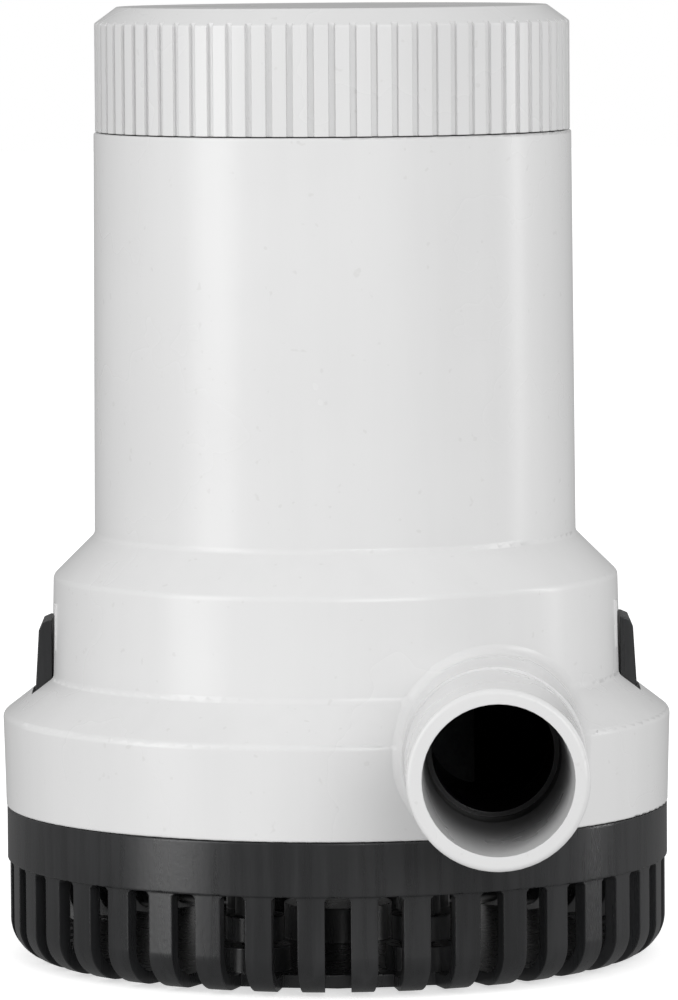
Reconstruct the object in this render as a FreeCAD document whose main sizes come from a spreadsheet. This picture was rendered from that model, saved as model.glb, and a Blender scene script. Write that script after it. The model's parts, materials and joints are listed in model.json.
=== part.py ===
import FreeCAD, Part
import Sketcher
import math
import os
from FreeCAD import Placement, Rotation, Vector

os.makedirs("parts", exist_ok=True)
doc = FreeCAD.newDocument("BilgePump")
sheet = doc.addObject("Spreadsheet::Sheet", "Sizes")

# Driving sizes in millimetres and degrees: name, value, meaning.
DRIVING = [
    ("body_r", 40.0, "motor casing radius at its foot"),
    ("body_draft", 0.45, "how much the casing narrows by its top"),
    ("base_spread", 15.0, "strainer band radius beyond the casing"),
    ("skirt_proud", 0.1, "skirt foot beyond the strainer band"),
    ("lip_proud", 0.5, "skirt lip beyond the strainer band"),
    ("ring_spread", 7.3, "middle ring radius beyond the casing"),
    ("ring_draft", 0.4, "how much the middle ring narrows by its top"),
    ("slotted_height", 16.4, "ground to the foot of the strainer band"),
    ("band_height", 8.8, "height of the plain strainer band"),
    ("parting_gap", 0.1, "gap between strainer band and skirt"),
    ("skirt_height", 15.3, "skirt foot to lip"),
    ("shelf_rise", 6.3, "sloping shelf, lip to ring"),
    ("ring_height", 16.6, "height of the middle ring"),
    ("cone_rise", 6.8, "cone between ring and casing"),
    ("casing_height", 66.6, "straight motor casing"),
    ("cap_gap", 0.2, "gap between casing and cap"),
    ("cap_side", 17.8, "ribbed side of the cap"),
    ("cap_chamfer_rise", 2.7, "height of the cap's chamfer"),
    ("cap_chamfer_run", 3.7, "width of the cap's chamfer"),
    ("cap_inset", 0.7, "cap radius inside the casing radius"),
    ("cap_wall", 3.0, "cap side wall"),
    ("cap_top_wall", 3.1, "cap top wall"),
    ("rib_groove_count", 72, "finger grooves round the cap"),
    ("rib_groove_width", 1.05, "width of a finger groove"),
    ("rib_groove_depth", 0.6, "depth of a finger groove"),
    ("rim_round", 1.3, "rounding of the lip and the ring"),
    ("edge_round", 0.4, "small rounding of free edges"),
    ("casing_wall", 2.6, "motor casing wall"),
    ("skirt_wall", 2.4, "skirt and shelf wall"),
    ("ring_wall", 2.7, "middle ring wall"),
    ("floor_wall", 2.4, "strainer floor"),
    ("foot_rise", 0.3, "footing under the strainer floor"),
    ("foot_inset", 1.5, "footing inside the slots"),
    ("band_step", 0.4, "slotted wall behind the band"),
    ("strainer_wall", 2.2, "slotted wall thickness"),
    ("corner_round", 6.2, "outer rounding between strainer wall and floor"),
    ("slot_count", 40, "strainer slots"),
    ("slot_width", 4.2, "width of a strainer slot"),
    ("slot_corner", 0.6, "rounding at the top of a slot"),
    ("slot_inset", 10.7, "slot start on the floor, inside the band radius"),
    ("collar_clear", 0.25, "radial clearance between collar and skirt"),
    ("collar_wall", 1.95, "collar wall"),
    ("collar_height", 7.3, "collar above the band"),
    ("collar_foot_drop", 5.7, "thick part of the wall below the band top"),
    ("hole_half_x", 13.4, "mounting hole from the centre, sideways"),
    ("hole_inset_y", 19.0, "mounting hole inside the band radius, fore and aft"),
    ("hole_r", 2.25, "mounting hole radius"),
    ("hole_boss_r", 5.8, "mounting boss radius"),
    ("hole_boss_rise", 4.0, "mounting boss above the floor"),
    ("centre_boss_r", 9.0, "centre boss radius"),
    ("centre_boss_rise", 5.8, "centre boss above the floor"),
    ("tab_width", 12.6, "release tab width"),
    ("tab_side_clear", 0.4, "gap beside the tab in its slot"),
    ("tab_thick", 2.6, "release tab thickness"),
    ("tab_outer_inset", 5.3, "tab outer face inside the band radius"),
    ("tab_lean", 0.45, "how much the tab's top leans in"),
    ("tab_flare", 0.15, "how much the tab's outer face flares above the slot"),
    ("tab_top_drop", 7.2, "tab top below the ring top"),
    ("tab_round", 1.6, "rounding of the tab's outer top edge"),
    ("tab_swing_gap", 3.3, "pocket depth behind the tab"),
    ("pocket_headroom", 0.9, "pocket above the tab"),
    ("tab_back_clear", 0.3, "strainer wall to the tab's outer face"),
    ("tab_slot_clear", 0.6, "shelf slot beyond the tab"),
    ("pivot_inset", 6.6, "tab pivot inside the band radius"),
    ("pivot_drop", 3.2, "tab pivot below the band top"),
    ("pivot_r", 1.7, "tab pivot radius"),
    ("pivot_clear", 0.05, "radial clearance round the pivot"),
    ("bracket_side", 1.2, "bracket beyond the tab on each side"),
    ("bracket_depth", 4.5, "bracket below the pivot"),
    ("catch_drop", 4.6, "underside of the catch ledge's top, below the lip"),
    ("catch_thick", 2.2, "catch ledge thickness"),
    ("catch_reach", 2.1, "catch ledge inward reach"),
    ("catch_gap", 0.2, "play between ledge and barb"),
    ("barb_reach", 1.8, "barb beyond the tab's outer face"),
    ("barb_height", 3.4, "height of the barb"),
    ("ceiling_lift", 4.6, "volute ceiling above the ring's foot"),
    ("deck_wall", 4.5, "bulkhead between volute and motor"),
    ("seat_rise", 6.0, "motor seat above the deck"),
    ("seat_width", 7.8, "motor seat ring width"),
    ("outlet_inset", 15.0, "outlet axis inside the casing radius"),
    ("outlet_rise", 13.8, "outlet axis above the skirt foot"),
    ("outlet_stick", 33.0, "outlet face beyond the band radius"),
    ("spigot_r", 14.3, "hose spigot radius"),
    ("spigot_length", 28.0, "hose spigot length"),
    ("spigot_step", 0.45, "outlet root thicker than the spigot"),
    ("spigot_round", 0.8, "rounding of the outlet's rim"),
    ("throat_r", 9.8, "throat radius"),
    ("throat_gap", 0.5, "spiral wider than the throat's far side"),
    ("bore_inner_r", 10.65, "outlet bore at its inner end"),
    ("bore_face_r", 11.9, "outlet bore at the face"),
    ("bore_depth", 39.0, "length of the tapered bore"),
    ("volute_wall", 2.2, "volute wall"),
    ("cutwater_gap", 2.5, "impeller to cutwater"),
    ("cutwater_angle", 53.0, "start of the spiral below the cross axis"),
    ("cover_spread", 1.0, "volute cover beyond the casing radius"),
    ("cover_clear", 0.6, "gap round the volute cover"),
    ("cover_thick", 2.8, "volute cover thickness"),
    ("gasket_thick", 0.6, "cover gasket thickness"),
    ("volute_floor_rise", 2.1, "volute floor above the skirt foot"),
    ("eye_r", 14.0, "inlet eye radius"),
    ("eye_lip", 4.0, "inlet lip below the cover"),
    ("eye_lip_wall", 2.0, "inlet lip wall"),
    ("leg_r", 3.2, "cover leg radius"),
    ("pad_r", 4.8, "cover leg pad radius"),
    ("pad_height", 4.0, "cover leg pad height"),
    ("pad_gap", 0.8, "pad above the mounting boss"),
    ("screw_inset", 2.5, "cover screws inside the casing radius"),
    ("screw_r", 1.5, "cover screw shank radius"),
    ("screw_head_r", 2.8, "cover screw head radius"),
    ("screw_head_rise", 1.8, "cover screw head height"),
    ("screw_depth", 11.0, "cover screw in its boss"),
    ("screw_boss_r", 3.2, "screw boss radius"),
    ("screw_clear", 0.05, "radial clearance round a screw"),
    ("screw_a", 35.0, "first cover screw angle"),
    ("screw_b", 125.0, "second cover screw angle"),
    ("screw_c", 215.0, "third cover screw angle"),
    ("screw_d", 280.0, "fourth cover screw angle"),
    ("impeller_inset", 17.0, "impeller radius inside the casing radius"),
    ("impeller_floor_gap", 1.1, "vanes above the volute floor"),
    ("impeller_disc_gap", 2.5, "impeller disc below the ceiling"),
    ("impeller_disc", 2.0, "impeller disc thickness"),
    ("hub_r", 6.0, "impeller hub radius"),
    ("hub_top_gap", 0.6, "hub below the ceiling"),
    ("vane_count", 6, "impeller vanes"),
    ("vane_thick", 1.8, "vane thickness"),
    ("vane_start_r", 8.5, "vane inner radius"),
    ("vane_sweep", 58.0, "vane sweep angle"),
    ("shaft_r", 3.0, "motor shaft radius"),
    ("shaft_foot", 3.0, "shaft end above the vane foot"),
    ("running_clear", 0.03, "radial clearance on the shaft"),
    ("seal_r", 8.0, "lip seal radius"),
    ("seal_height", 3.5, "lip seal height"),
    ("seal_ledge", 0.5, "ledge under the seals"),
    ("seal_ledge_r", 6.5, "hole in the ledge"),
    ("seal_boss_wall", 3.0, "wall round the seals"),
    ("can_inset", 8.2, "motor can inside the casing radius"),
    ("can_wall", 1.8, "motor can wall"),
    ("can_headroom", 14.9, "motor can below the casing top"),
    ("plate_thick", 2.5, "drive end plate thickness"),
    ("bearing_r", 8.0, "bearing radius"),
    ("bearing_height", 5.4, "bearing height"),
    ("bearing_lip", 0.6, "lip under a bearing"),
    ("bearing_lip_r", 6.0, "hole in the bearing lip"),
    ("hub_wall", 2.5, "wall round a bearing"),
    ("magnet_thick", 3.7, "field magnet thickness"),
    ("magnet_angle", 136.0, "field magnet arc"),
    ("magnet_low_gap", 5.5, "magnets above the can foot"),
    ("magnet_top_gap", 8.0, "magnets below the can top"),
    ("air_gap", 0.8, "magnet to armature"),
    ("bolt_r", 1.4, "tie bolt radius"),
    ("bolt_inset", 3.7, "tie bolt inside the can radius"),
    ("bolt_head_r", 2.6, "tie bolt head radius"),
    ("bolt_head_rise", 2.2, "tie bolt head height"),
    ("bolt_bite", 5.0, "tie bolt in the seat"),
    ("core_low_gap", 9.5, "armature core above the can foot"),
    ("core_top_gap", 16.0, "armature core below the can top"),
    ("core_slot_count", 12, "armature slots"),
    ("core_slot_width", 3.0, "armature slot width"),
    ("core_slot_depth", 11.0, "armature slot depth"),
    ("winding_clear", 0.2, "gap round a winding in its slot"),
    ("winding_overhang", 5.0, "winding beyond the core"),
    ("winding_inner_r", 10.0, "winding end inner radius"),
    ("winding_inset", 2.5, "winding end inside the core radius"),
    ("comm_r", 8.0, "commutator radius"),
    ("comm_low_gap", 10.0, "commutator foot below the can top"),
    ("comm_height", 9.0, "commutator height"),
    ("comm_bars", 12, "commutator bars"),
    ("comm_cut", 0.5, "cut between commutator bars"),
    ("brush_half_width", 2.5, "half the brush width"),
    ("brush_height", 4.0, "brush height"),
    ("brush_share", 0.55, "brush length as a share of its room"),
    ("brush_clear", 0.05, "gap round a brush"),
    ("holder_wall", 1.45, "brush holder wall"),
    ("holder_start", 3.0, "holder beyond the commutator"),
    ("holder_inset", 5.8, "holder end inside the can wall"),
    ("spring_r", 1.5, "brush spring mean radius"),
    ("spring_wire_r", 0.25, "brush spring wire radius"),
    ("spring_turns", 4, "brush spring turns"),
    ("end_plate_thick", 3.0, "brush end plate thickness"),
    ("shaft_top_gap", 0.6, "shaft above the upper bearing"),
    ("neck_step", 5.2, "neck radius inside the casing radius"),
    ("neck_wall", 2.0, "neck wall"),
    ("neck_height", 11.6, "neck above the casing top"),
    ("thread_pitch", 3.2, "cap thread pitch"),
    ("thread_turns", 1.5, "turns of each ridge"),
    ("thread_start", 3.1, "first ridge above the casing top"),
    ("thread_depth", 1.2, "ridge height"),
    ("thread_root_half", 0.9, "half the ridge width at its root"),
    ("thread_crest_half", 0.35, "half the ridge width at its crest"),
    ("thread_clear", 0.3, "crest to opposite wall"),
    ("ring_groove_inner", 3.6, "seal groove inner edge inside the casing radius"),
    ("ring_groove_outer", 1.6, "seal groove outer edge inside the casing radius"),
    ("ring_groove_depth", 1.6, "seal groove depth"),
    ("ring_section_r", 0.85, "seal ring section radius"),
    ("gland_drop", 18.9, "cable gland below the casing top"),
    ("gland_boss_r", 9.0, "gland boss radius"),
    ("gland_boss_stick", 6.0, "gland boss beyond the casing"),
    ("gland_bore_r", 4.0, "gland bore radius"),
    ("gland_hole_r", 2.6, "cable hole radius"),
    ("gland_collar", 1.2, "gland collar thickness"),
    ("nut_wall", 1.6, "gland nut side wall"),
    ("nut_length", 8.0, "gland nut length"),
    ("nut_end", 2.0, "gland nut end wall"),
    ("nut_flutes", 12, "flutes round the gland nut"),
    ("flute_r", 1.0, "flute radius"),
    ("nut_clear", 0.05, "radial clearance of the nut on its boss"),
    ("lead_r", 0.8, "inner lead radius"),
    ("lead_half_x", 5.0, "inner lead from the centre"),
    ("choke_r", 3.2, "noise suppressor radius"),
    ("choke_length", 12.0, "noise suppressor length"),
]

# Sizes that follow from the driving ones.
FOLLOWING = [
    ("band_r", "body_r + base_spread"),
    ("strainer_r", "band_r - band_step"),
    ("strainer_in_r", "strainer_r - strainer_wall"),
    ("skirt_r", "band_r + skirt_proud"),
    ("skirt_in_r", "skirt_r - skirt_wall"),
    ("lip_r", "band_r + lip_proud"),
    ("ring_r", "body_r + ring_spread"),
    ("shelf_run", "lip_r - ring_r"),
    ("shelf_slope", "shelf_rise / shelf_run"),
    ("shelf_drop", "skirt_wall * sqrt(1 + shelf_slope * shelf_slope)"),
    ("ring_in_r", "ring_r - ring_wall"),
    ("band_top", "slotted_height + band_height"),
    ("skirt_low", "band_top + parting_gap"),
    ("lip_z", "skirt_low + skirt_height"),
    ("ring_low", "lip_z + shelf_rise"),
    ("ring_top", "ring_low + ring_height"),
    ("cone_top", "ring_top + cone_rise"),
    ("casing_top", "cone_top + casing_height"),
    ("casing_in_r", "body_r - casing_wall"),
    ("cap_low", "casing_top + cap_gap"),
    ("cap_shoulder", "cap_low + cap_side"),
    ("cap_top", "cap_shoulder + cap_chamfer_rise"),
    ("cap_r", "body_r - cap_inset"),
    ("cap_in_r", "cap_r - cap_wall"),
    ("neck_r", "body_r - neck_step"),
    ("ceiling_z", "ring_low + ceiling_lift"),
    ("deck_z", "ceiling_z + deck_wall"),
    ("seat_z", "deck_z + seat_rise"),
    ("can_r", "body_r - can_inset"),
    ("can_in_r", "can_r - can_wall"),
    ("can_low", "seat_z + plate_thick"),
    ("can_top", "casing_top - can_headroom"),
    ("magnet_in_r", "can_in_r - magnet_thick"),
    ("core_r", "magnet_in_r - air_gap"),
    ("core_low", "can_low + core_low_gap"),
    ("core_top", "can_top - core_top_gap"),
    ("comm_low", "can_top - comm_low_gap"),
    ("brush_z", "comm_low + comm_height * 0.5"),
    ("holder_end", "can_in_r - holder_inset"),
    ("brush_length", "( holder_end - comm_r ) * brush_share"),
    ("end_plate_top", "can_top + end_plate_thick"),
    ("upper_bearing_low", "end_plate_top"),
    ("upper_bearing_top", "upper_bearing_low + bearing_height"),
    ("shaft_top", "upper_bearing_top + shaft_top_gap"),
    ("outlet_x", "body_r - outlet_inset"),
    ("outlet_z", "skirt_low + outlet_rise"),
    ("outlet_reach", "band_r + outlet_stick"),
    ("volute_floor", "skirt_low + volute_floor_rise"),
    ("cover_top", "volute_floor - gasket_thick"),
    ("cover_low", "cover_top - cover_thick"),
    ("cover_r", "body_r + cover_spread"),
    ("impeller_r", "body_r - impeller_inset"),
    ("cutwater_r", "impeller_r + cutwater_gap"),
    ("spiral_end_r", "outlet_x + throat_r + throat_gap"),
    ("vane_low", "volute_floor + impeller_floor_gap"),
    ("disc_top", "ceiling_z - impeller_disc_gap"),
    ("seal_low", "ceiling_z + seal_ledge"),
    ("seal_mid", "seal_low + seal_height"),
    ("seal_top", "seal_mid + seal_height"),
    ("tab_outer_r", "band_r - tab_outer_inset"),
    ("tab_inner_r", "tab_outer_r - tab_thick"),
    ("tab_top", "ring_top - tab_top_drop"),
    ("pocket_r", "tab_inner_r - tab_swing_gap"),
    ("pivot_x", "band_r - pivot_inset"),
    ("pivot_z", "band_top - pivot_drop"),
    ("catch_top", "lip_z - catch_drop"),
    ("barb_low", "catch_top + catch_gap"),
    ("hole_y", "band_r - hole_inset_y"),
    ("boss_top", "floor_wall + hole_boss_rise"),
    ("pad_low", "boss_top + pad_gap"),
    ("screw_ring", "body_r - screw_inset"),
    ("gland_z", "casing_top - gland_drop"),
    ("gland_face", "body_r + gland_boss_stick"),
    ("bolt_ring", "can_r - bolt_inset"),
    ("thread_z", "casing_top + thread_start"),
]

NAMES = {row[0] for row in DRIVING} | {row[0] for row in FOLLOWING}


def fill_sheet():
    for number, (name, size, meaning) in enumerate(DRIVING, start=1):
        sheet.set("A%d" % number, meaning)
        sheet.set("B%d" % number, str(size))
        sheet.setAlias("B%d" % number, name)
    for number, (name, formula) in enumerate(FOLLOWING, start=1):
        sheet.set("C%d" % number, name.replace("_", " "))
        sheet.set("D%d" % number, "=" + formula)
        sheet.setAlias("D%d" % number, name)
    doc.recompute()


def bind(formula):
    """Spell a spaced formula of size names as an expression on the sheet."""
    words = ["Sizes." + word if word in NAMES else word for word in str(formula).split()]
    return " ".join(words).replace("cos (", "cos(").replace("sin (", "sin(")


def value(formula):
    """The present value of a formula."""
    return float(sheet.evalExpression(bind(formula)))


def new_body(label):
    body = doc.addObject("PartDesign::Body", label)
    body.Label = label
    return body


def origin_item(body, role):
    return next(item for item in body.Origin.OriginFeatures if item.Role == role)


def new_sketch(body, name, role, offset="0"):
    """A sketch on one of the body's own planes, moved along the plane's normal."""
    sketch = body.newObject("Sketcher::SketchObject", name)
    sketch.AttachmentSupport = [(origin_item(body, role), "")]
    sketch.MapMode = "FlatFace"
    sketch.setExpression(".AttachmentOffset.Base.z", bind(offset))
    return sketch


def pin_point(sketch, geometry, place, across, up):
    """Hold a point at two bound distances from the sketch's origin."""
    for kind, formula in (("DistanceX", across), ("DistanceY", up)):
        held = Sketcher.Constraint(kind, -1, 1, geometry, place, value(formula))
        index = sketch.addConstraint(held)
        sketch.setExpression("Constraints[%d]" % index, bind(formula))


def corner_ends(corners, number, radius):
    """Where a rounded corner's arc starts, its middle, and where it stops."""
    here = corners[number]
    before = (corners[number - 1] - here).normalize()
    after = (corners[(number + 1) % len(corners)] - here).normalize()
    half = before.getAngle(after) / 2
    back = radius / math.tan(half)
    bisector = (before + after).normalize()
    middle = here + bisector * (radius / math.sin(half) - radius)
    return here + before * back, middle, here + after * back


def draw_outline(sketch, points):
    """A closed outline through bound corners; a corner's third entry is its rounding."""
    corners = [Vector(value(point[0]), value(point[1]), 0) for point in points]
    count = len(corners)
    arcs = []
    for number, point in enumerate(points):
        if len(point) == 3:
            arcs.append(corner_ends(corners, number, value(point[2])))
        else:
            arcs.append((corners[number], None, corners[number]))
    first = sketch.GeometryCount
    for number in range(count):
        line = Part.LineSegment(arcs[number][2], arcs[(number + 1) % count][0])
        sketch.addGeometry(line, False)
    for number, point in enumerate(points):
        coming = first + (number - 1) % count
        leaving = first + number
        start, middle, stop = arcs[number]
        if middle is None:
            sketch.addConstraint(Sketcher.Constraint("Coincident", coming, 2, leaving, 1))
            pin_point(sketch, leaving, 1, point[0], point[1])
            continue
        arc = sketch.addGeometry(Part.Arc(start, middle, stop), False)
        clockwise = (middle - start).cross(stop - middle).z < 0
        near, far = (2, 1) if clockwise else (1, 2)
        sketch.addConstraint(Sketcher.Constraint("Tangent", coming, 2, arc, near))
        sketch.addConstraint(Sketcher.Constraint("Tangent", arc, far, leaving, 1))
        corner = sketch.addGeometry(Part.Point(corners[number]), True)
        sketch.addConstraint(Sketcher.Constraint("PointOnObject", corner, 1, coming))
        sketch.addConstraint(Sketcher.Constraint("PointOnObject", corner, 1, leaving))
        held = Sketcher.Constraint("Radius", arc, value(point[2]))
        index = sketch.addConstraint(held)
        sketch.setExpression("Constraints[%d]" % index, bind(point[2]))
        pin_point(sketch, corner, 1, point[0], point[1])


def draw_circle(sketch, across, up, radius):
    centre = Vector(value(across), value(up), 0)
    circle = Part.Circle(centre, Vector(0, 0, 1), value(radius))
    number = sketch.addGeometry(circle, False)
    pin_point(sketch, number, 3, across, up)
    held = Sketcher.Constraint("Radius", number, value(radius))
    index = sketch.addConstraint(held)
    sketch.setExpression("Constraints[%d]" % index, bind(radius))


def box_outline(left, right, low, high):
    return [(left, low), (right, low), (right, high), (left, high)]


def spin(body, name, points, kind="PartDesign::Revolution"):
    """Turn an outline of radius and height pairs round the Z axis."""
    sketch = new_sketch(body, name + "_outline", "XZ_Plane")
    draw_outline(sketch, points)
    feature = body.newObject(kind, name)
    feature.Profile = sketch
    feature.ReferenceAxis = (sketch, ["V_Axis"])
    feature.Angle = 360
    return feature


def extrude(body, name, sketch, length, kind="PartDesign::Pad", away=False, both=False):
    """Pad or pocket a sketch by a bound length."""
    feature = body.newObject(kind, name)
    feature.Profile = sketch
    feature.setExpression("Length", bind(length))
    feature.Reversed = away
    if both:
        feature.SideType = "Symmetric"
    return feature


def column(body, name, low, high, across, up, radius, kind="PartDesign::Pad"):
    """An upright round column or hole between two heights."""
    cutting = kind == "PartDesign::Pocket"
    sketch = new_sketch(body, name + "_circle", "XY_Plane", low)
    draw_circle(sketch, across, up, radius)
    return extrude(body, name, sketch, "( %s ) - ( %s )" % (high, low), kind, cutting)


def block(body, name, low, high, left, right, front, back, kind="PartDesign::Pad"):
    """An upright block or box-shaped cut between two heights."""
    cutting = kind == "PartDesign::Pocket"
    sketch = new_sketch(body, name + "_outline", "XY_Plane", low)
    draw_outline(sketch, box_outline(left, right, front, back))
    return extrude(body, name, sketch, "( %s ) - ( %s )" % (high, low), kind, cutting)


def repeat_round(body, name, features, count):
    """Repeat features evenly round the Z axis."""
    pattern = body.newObject("PartDesign::PolarPattern", name)
    pattern.Originals = features
    pattern.Axis = (origin_item(body, "Z_Axis"), [""])
    pattern.Angle = 360
    pattern.setExpression("Occurrences", bind(count))
    body.Tip = pattern
    return pattern


def rim_names(feature, rims):
    """Names of the round edges about the Z axis at given radii and heights."""
    doc.recompute()
    wanted = [(value(radius), value(height)) for radius, height in rims]
    found = []
    for number, edge in enumerate(feature.Shape.Edges, start=1):
        if not isinstance(edge.Curve, Part.Circle):
            continue
        centre = edge.Curve.Center
        if math.hypot(centre.x, centre.y) > 0.001:
            continue
        for radius, height in wanted:
            if abs(edge.Curve.Radius - radius) < 0.001 and abs(centre.z - height) < 0.001:
                found.append("Edge%d" % number)
    if len(found) != len(rims):
        raise RuntimeError("rims not found on " + feature.Label)
    return found


def round_rims(body, name, feature, rims, radius):
    rounding = body.newObject("PartDesign::Fillet", name)
    rounding.Base = (feature, rim_names(feature, rims))
    rounding.setExpression("Radius", bind(radius))
    return rounding


def ridge(body, name, points):
    """A helical ridge from a four-sided outline in the XZ plane."""
    sketch = new_sketch(body, name + "_outline", "XZ_Plane")
    draw_outline(sketch, points)
    helix = body.newObject("PartDesign::AdditiveHelix", name)
    helix.Profile = sketch
    helix.ReferenceAxis = (sketch, ["V_Axis"])
    helix.Mode = "pitch-turns-angle"
    helix.setExpression("Pitch", bind("thread_pitch"))
    helix.setExpression("Turns", bind("thread_turns"))
    helix.LeftHanded = False
    return helix


def strainer_base():
    body = new_body("strainer_base")
    shell = spin(body, "dish", [
        ("0", "foot_rise"),
        ("strainer_r", "foot_rise"),
        ("strainer_r", "slotted_height"),
        ("band_r", "slotted_height"),
        ("band_r", "band_top"),
        ("skirt_in_r - collar_clear", "band_top"),
        ("skirt_in_r - collar_clear", "band_top + collar_height"),
        ("skirt_in_r - collar_clear - collar_wall", "band_top + collar_height"),
        ("skirt_in_r - collar_clear - collar_wall", "band_top - collar_foot_drop"),
        ("strainer_in_r", "band_top - collar_foot_drop - collar_wall"),
        ("strainer_in_r", "floor_wall"),
        ("0", "floor_wall"),
    ])
    outer = round_rims(body, "foot_round", shell, [("strainer_r", "foot_rise")], "corner_round")
    inner = round_rims(body, "inner_foot_round", outer, [("strainer_in_r", "floor_wall")],
                       "corner_round - strainer_wall")
    round_rims(body, "band_round", inner, [("band_r", "band_top"), ("band_r", "slotted_height")],
               "band_step * 0.6")
    slot = new_sketch(body, "slot_outline", "YZ_Plane", "band_r - slot_inset")
    half = "slot_width * 0.5"
    draw_outline(slot, [
        ("0 - slot_width * 0.5", "0 - floor_wall"),
        (half, "0 - floor_wall"),
        (half, "slotted_height - slot_corner"),
        (half + " - slot_corner", "slotted_height"),
        ("slot_corner - slot_width * 0.5", "slotted_height"),
        ("0 - slot_width * 0.5", "slotted_height - slot_corner"),
    ])
    cut = extrude(body, "slot", slot, "slot_inset * 2", "PartDesign::Pocket", True)
    repeat_round(body, "slots", [cut], "slot_count")
    footing = body.newObject("PartDesign::AdditivePrism", "footing")
    footing.Polygon = 16
    footing.setExpression("Circumradius", bind("band_r - slot_inset - foot_inset"))
    footing.setExpression("Height", bind("floor_wall * 0.5"))
    column(body, "centre_boss", "floor_wall * 0.5", "floor_wall + centre_boss_rise", "0", "0",
           "centre_boss_r")
    bosses = new_sketch(body, "boss_circles", "XY_Plane", "floor_wall * 0.5")
    holes = new_sketch(body, "hole_circles", "XY_Plane", "0 - floor_wall")
    for side in ("", "0 - "):
        for end in ("", "0 - "):
            draw_circle(bosses, side + "hole_half_x", end + "hole_y", "hole_boss_r")
            draw_circle(holes, side + "hole_half_x", end + "hole_y", "hole_r")
    extrude(body, "mounting_bosses", bosses, "boss_top - floor_wall * 0.5")
    extrude(body, "mounting_holes", holes, "boss_top + floor_wall * 2", "PartDesign::Pocket", True)
    low = "pivot_z - bracket_depth"
    high = "pivot_z + pivot_clear * 6"
    half = "tab_width * 0.5 + bracket_side"
    for side, name in (("", "right"), ("0 - ", "left")):
        near = side + "( pivot_x - pivot_r - pivot_clear - 0.05 )"
        far = side + "( strainer_in_r + strainer_wall * 0.1 )"
        left, right = (near, far) if side == "" else (far, near)
        block(body, name + "_bracket", low, high, left, right, "0 - ( " + half + " )", half)
        socket = new_sketch(body, name + "_socket_circle", "XZ_Plane")
        draw_circle(socket, side + "pivot_x", "pivot_z", "pivot_r + pivot_clear")
        extrude(body, name + "_socket", socket, "tab_width * 2", "PartDesign::Pocket", both=True)
        near = side + "tab_inner_r"
        far = side + "( tab_outer_r + tab_back_clear )"
        left, right = (near, far) if side == "" else (far, near)
        reach = "tab_width * 0.5 + tab_side_clear"
        block(body, name + "_tab_relief", "pivot_z + pivot_r * 0.7", "band_top + collar_height * 2",
              left, right, "0 - ( " + reach + " )", reach, "PartDesign::Pocket")
    block(body, "outlet_notch", "band_top", "band_top + collar_height * 2",
          "outlet_x - spigot_r - spigot_step - 1.2", "outlet_x + spigot_r + spigot_step + 1.2",
          "0 - band_r", "0", "PartDesign::Pocket")
    return body


def spiral_points(extra):
    """Points on the volute spiral, swept clockwise to the outlet side."""
    start = math.radians(value("cutwater_angle"))
    grow = value("spiral_end_r") - value("cutwater_r")
    steps = 18
    points = []
    for number in range(steps + 1):
        share = number / steps
        angle = -start - share * (2 * math.pi - start)
        radius = value("cutwater_r") + grow * share + extra
        points.append(Vector(radius * math.cos(angle), radius * math.sin(angle), 0))
    return points


def draw_spiral(sketch, extra, corners):
    """A closed outline of the spiral and the straight lines back to its start."""
    points = spiral_points(extra)
    curve = Part.BSplineCurve()
    curve.interpolate(points)
    sketch.addGeometry(curve, False)
    stops = [points[-1]] + corners + [points[0]]
    for number in range(len(stops) - 1):
        sketch.addGeometry(Part.LineSegment(stops[number], stops[number + 1]), False)
    last = sketch.GeometryCount - 1
    held = []
    for number in range(sketch.GeometryCount):
        if isinstance(sketch.Geometry[number], Part.LineSegment):
            held.append(number)
    for number in held[:-1]:
        sketch.addConstraint(Sketcher.Constraint("Coincident", number, 2, number + 1, 1))
    sketch.addConstraint(Sketcher.Constraint("Coincident", 0, 2, held[0], 1))
    sketch.addConstraint(Sketcher.Constraint("Coincident", last, 2, 0, 1))


def outlet_tube(body, name, radius, length, kind="PartDesign::Pad"):
    sketch = new_sketch(body, name + "_circle", "XZ_Plane")
    draw_circle(sketch, "outlet_x", "outlet_z", radius)
    return extrude(body, name, sketch, length, kind, kind == "PartDesign::Pocket")


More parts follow.
